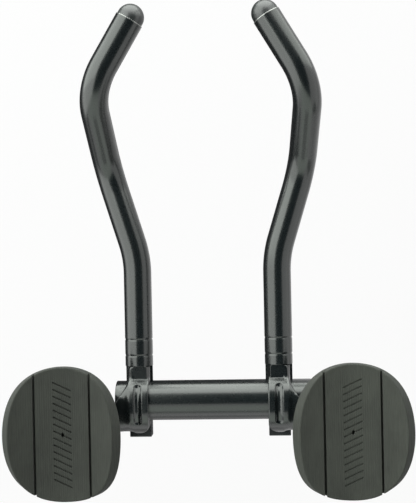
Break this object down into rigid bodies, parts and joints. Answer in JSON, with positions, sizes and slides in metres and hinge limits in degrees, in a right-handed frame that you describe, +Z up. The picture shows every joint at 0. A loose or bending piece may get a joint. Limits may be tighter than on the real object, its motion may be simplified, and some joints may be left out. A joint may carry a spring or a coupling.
{
  "type": "aero handlebar extension",
  "caption": "Pair of S-bent tubular aero bar extensions clamped to a short round cross bar, with cupped foam forearm rests on the clamps.",
  "frame": {"origin": "on the axis of the cross bar, half way between the two extensions", "axes": "+X along the bar to the rider's right, +Y forward along the extensions, +Z up"},
  "size_m": [0.3176, 0.3833, 0.0816],
  "materials": {
    "black_anodised_tube": "gloss black over drawn aluminium tube",
    "black_painted_bar": "gloss black over drawn aluminium tube",
    "black_painted_clamp": "gloss black over forged aluminium",
    "black_plug": "smooth moulded",
    "blackened_steel": "black oxide",
    "black_nylon": "fine moulded texture",
    "hook_and_loop": "hook and loop pile",
    "charcoal_foam": "moulded closed-cell foam skin"
  },
  "bodies": {
    "root": {"cross_bar": "black_painted_bar", "left_extension_tube": "black_anodised_tube", "left_extension_plug": "black_plug", "left_upper_clamp": "black_painted_clamp", "left_lower_clamp": "black_painted_clamp", "left_front_clamp_bolt": "blackened_steel", "left_front_clamp_washer": "blackened_steel", "left_rear_clamp_bolt": "blackened_steel", "left_rear_clamp_washer": "blackened_steel", "left_armrest_tray": "black_nylon", "left_armrest_screws": "blackened_steel", "left_armrest_washers": "blackened_steel", "left_hook_patch": "hook_and_loop", "left_loop_patch": "hook_and_loop", "left_armrest_pad": "charcoal_foam", "right_extension_tube": "black_anodised_tube", "right_extension_plug": "black_plug", "right_upper_clamp": "black_painted_clamp", "right_lower_clamp": "black_painted_clamp", "right_front_clamp_bolt": "blackened_steel", "right_front_clamp_washer": "blackened_steel", "right_rear_clamp_bolt": "blackened_steel", "right_rear_clamp_washer": "blackened_steel", "right_armrest_tray": "black_nylon", "right_armrest_screws": "blackened_steel", "right_armrest_washers": "blackened_steel", "right_hook_patch": "hook_and_loop", "right_loop_patch": "hook_and_loop", "right_armrest_pad": "charcoal_foam"}
  },
  "joints": []
}
